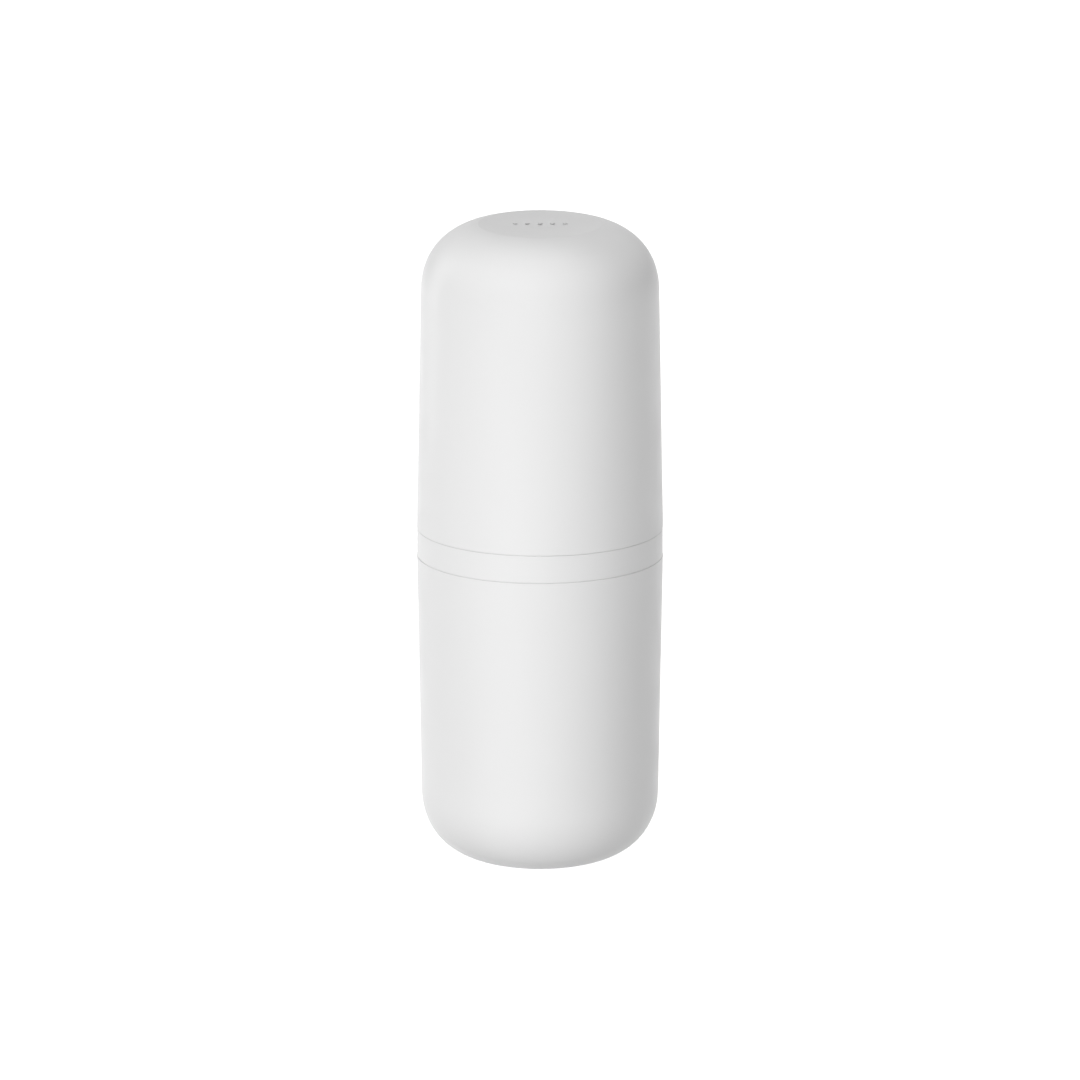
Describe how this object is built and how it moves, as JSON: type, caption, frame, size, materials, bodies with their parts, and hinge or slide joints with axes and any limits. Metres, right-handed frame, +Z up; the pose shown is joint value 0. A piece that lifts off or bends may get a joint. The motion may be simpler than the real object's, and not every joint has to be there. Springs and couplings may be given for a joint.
{
  "type": "toothbrush sanitizer",
  "caption": "Upright capsule that stores toothbrushes: a cup for the handles, a collar with a brush holder, and a lift-off cover with an ultraviolet lamp inside its top.",
  "frame": {"origin": "centre of the base pad's underside, on the capsule's axis", "axes": "+Z up along the capsule's axis; -Y is the plain front; the charging port and the button are on the back, +Y"},
  "size_m": [0.085, 0.085, 0.2242],
  "materials": {
    "white_shell": "satin-gloss white ABS, fine-polished",
    "white_inner": "matt white plastic",
    "silicone": "translucent grey silicone rubber",
    "flap_silicone": "white silicone rubber",
    "polished_liner": "polished deep-drawn aluminium",
    "quartz": "polished quartz glass",
    "clear_plastic": "frosted clear plastic",
    "board_white": "white solder mask on aluminium",
    "led_package": "ceramic lamp package",
    "board_green": "green solder mask",
    "black_plastic": "matt black plastic",
    "lead_sleeve": "black lead insulation",
    "steel": "nickel-plated steel",
    "magnet_plate": "nickel-plated magnet",
    "cell_wrap": "blue shrink sleeve on a steel can"
  },
  "bodies": {
    "cup": {"lower_cup": "white_shell", "base_pad": "silicone", "handle_rest": "silicone"},
    "collar": {"collar": "white_shell", "cover_seal": "silicone", "cup_seal": "silicone", "interlock_magnet": "magnet_plate"},
    "holder": {"brush_holder": "white_inner"},
    "cover": {"upper_cover": "white_shell", "reflector_liner": "polished_liner", "lamp_carrier": "white_inner", "carrier_seal": "silicone", "window_seal": "silicone", "uv_window": "quartz", "led_board": "board_white", "uv_leds": "led_package", "board_link": "black_plastic", "main_board": "board_green", "board_chips": "black_plastic", "usb_port": "steel", "switch_body": "black_plastic", "status_led": "led_package", "sensor_socket": "white_inner", "cell_holder": "black_plastic", "battery_cell": "cell_wrap", "cell_contacts": "steel", "carrier_screws": "steel", "board_screws": "steel", "led_board_screws": "steel", "sensor_board": "board_green", "hall_sensor": "black_plastic", "sensor_lead": "lead_sleeve", "button_seal": "silicone", "light_pipe": "clear_plastic"},
    "button": {"power_button": "white_shell", "switch_plunger": "white_inner"},
    "port_flap": {"usb_cover": "flap_silicone"}
  },
  "joints": [
    {"name": "collar_lift", "type": "slide", "parent": "cup", "child": "collar", "axis": [0, 0, 1], "range_m": [0, 0.04]},
    {"name": "holder_lift", "type": "slide", "parent": "collar", "child": "holder", "axis": [0, 0, 1], "range_m": [0, 0.03]},
    {"name": "cover_lift", "type": "slide", "parent": "collar", "child": "cover", "axis": [0, 0, 1], "range_m": [0, 0.12]},
    {"name": "button_press", "type": "slide", "parent": "cover", "child": "button", "axis": [-0.4384, -0.8988, 0], "range_m": [0, 0.0005], "stiffness_N_per_m": 1500},
    {"name": "flap_hinge", "type": "hinge", "parent": "cover", "child": "port_flap", "pos_m": [-0.01762, 0.03613, 0.2028], "axis": [-0.8988, -0.4384, 0], "range_deg": [0, 90], "stiffness_Nm_per_rad": 0.0002}
  ]
}
